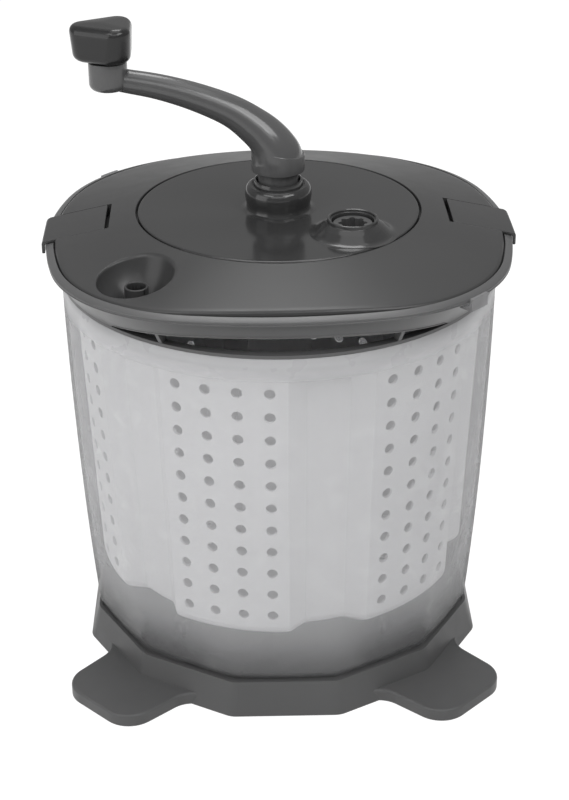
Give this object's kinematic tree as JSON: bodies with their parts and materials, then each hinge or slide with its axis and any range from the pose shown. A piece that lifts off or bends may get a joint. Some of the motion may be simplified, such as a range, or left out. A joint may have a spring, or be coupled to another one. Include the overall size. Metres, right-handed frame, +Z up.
{
  "type": "portable washing machine",
  "caption": "Hand-cranked portable washing machine: perforated basket in a translucent round tub, geared lid with crank, water funnel and two latches, and a tray base with foot plates.",
  "frame": {"origin": "on the floor, on the axis shared by tub, basket and drive, which is the centre of the footprint", "axes": "+Z up; -Y is the front, with the pour-out slot; +X to the right seen from the front; the crank at rest points along -X"},
  "size_m": [0.3482, 0.337, 0.491],
  "materials": {
    "lid_plastic": "satin",
    "cover_plastic": "gloss",
    "crank_plastic": "gloss",
    "collar_plastic": "satin",
    "base_plastic": "satin",
    "tub_plastic": "translucent, satin",
    "basket_plastic": "satin",
    "clip_plastic": "translucent",
    "gear_plastic": "satin",
    "seal_rubber": "matt",
    "pad_rubber": "matt",
    "screw_steel": "plain",
    "pin_steel": "ground"
  },
  "bodies": {
    "root": {"base_tray": "base_plastic", "foot_pads": "pad_rubber", "base_screws": "screw_steel", "outer_tub": "tub_plastic", "sill_ring": "collar_plastic", "slot_posts": "collar_plastic", "rim_collar": "collar_plastic", "collar_clips": "clip_plastic", "pivot_pin": "pin_steel"},
    "carrier": {"pivot_bush": "gear_plastic"},
    "basket": {"wash_basket": "basket_plastic", "agitator_column": "basket_plastic", "column_screws": "screw_steel"},
    "lid": {"lid_shell": "lid_plastic", "lid_seal": "seal_rubber", "gear_cover": "cover_plastic", "cover_screws": "screw_steel", "drive_bush": "gear_plastic", "pinion_pin": "pin_steel", "latch_pin_left": "pin_steel", "latch_pin_right": "pin_steel"},
    "drive": {"drive_gear": "gear_plastic", "drive_dog": "gear_plastic", "dog_screw": "screw_steel"},
    "small_gear": {"pinion": "gear_plastic"},
    "crank": {"crank_arm": "crank_plastic", "crank_spigot": "crank_plastic", "spigot_screw": "screw_steel", "knob_axle": "pin_steel"},
    "knob": {"knob": "lid_plastic"},
    "latch_left": {"latch_left": "lid_plastic"},
    "latch_right": {"latch_right": "lid_plastic"}
  },
  "joints": [
    {"name": "basket_lift", "type": "slide", "parent": "root", "child": "carrier", "axis": [0, 0, 1], "range_m": [0, 0.26]},
    {"name": "basket_spin", "type": "hinge", "parent": "carrier", "child": "basket", "pos_m": [0, 0, 0.0655], "axis": [0, 0, 1], "continuous": true},
    {"name": "lid_lift", "type": "slide", "parent": "carrier", "child": "lid", "axis": [0, 0, 1], "range_m": [0, 0.2]},
    {"name": "drive_spin", "type": "hinge", "parent": "lid", "child": "drive", "pos_m": [0, 0, 0.337], "axis": [0, 0, 1], "continuous": true},
    {"name": "small_gear_spin", "type": "hinge", "parent": "lid", "child": "small_gear", "pos_m": [0.05162, -0.05162, 0.337], "axis": [0, 0, 1], "continuous": true},
    {"name": "crank_pull", "type": "slide", "parent": "drive", "child": "crank", "axis": [0, 0, 1], "range_m": [0, 0.045]},
    {"name": "knob_spin", "type": "hinge", "parent": "crank", "child": "knob", "pos_m": [-0.1206, 0, 0.477], "axis": [0, 0, 1], "continuous": true},
    {"name": "latch_left_swing", "type": "hinge", "parent": "lid", "child": "latch_left", "pos_m": [-0.1313, 0.002, 0.3396], "axis": [0, 1, 0], "range_deg": [0, 95]},
    {"name": "latch_right_swing", "type": "hinge", "parent": "lid", "child": "latch_right", "pos_m": [0.1313, 0.002, 0.3396], "axis": [0, -1, 0], "range_deg": [0, 95]}
  ],
  "couplings": [
    {"joint": "drive_spin", "follows": "basket_spin", "ratio": 1},
    {"joint": "small_gear_spin", "follows": "basket_spin", "ratio": -3.2941}
  ]
}
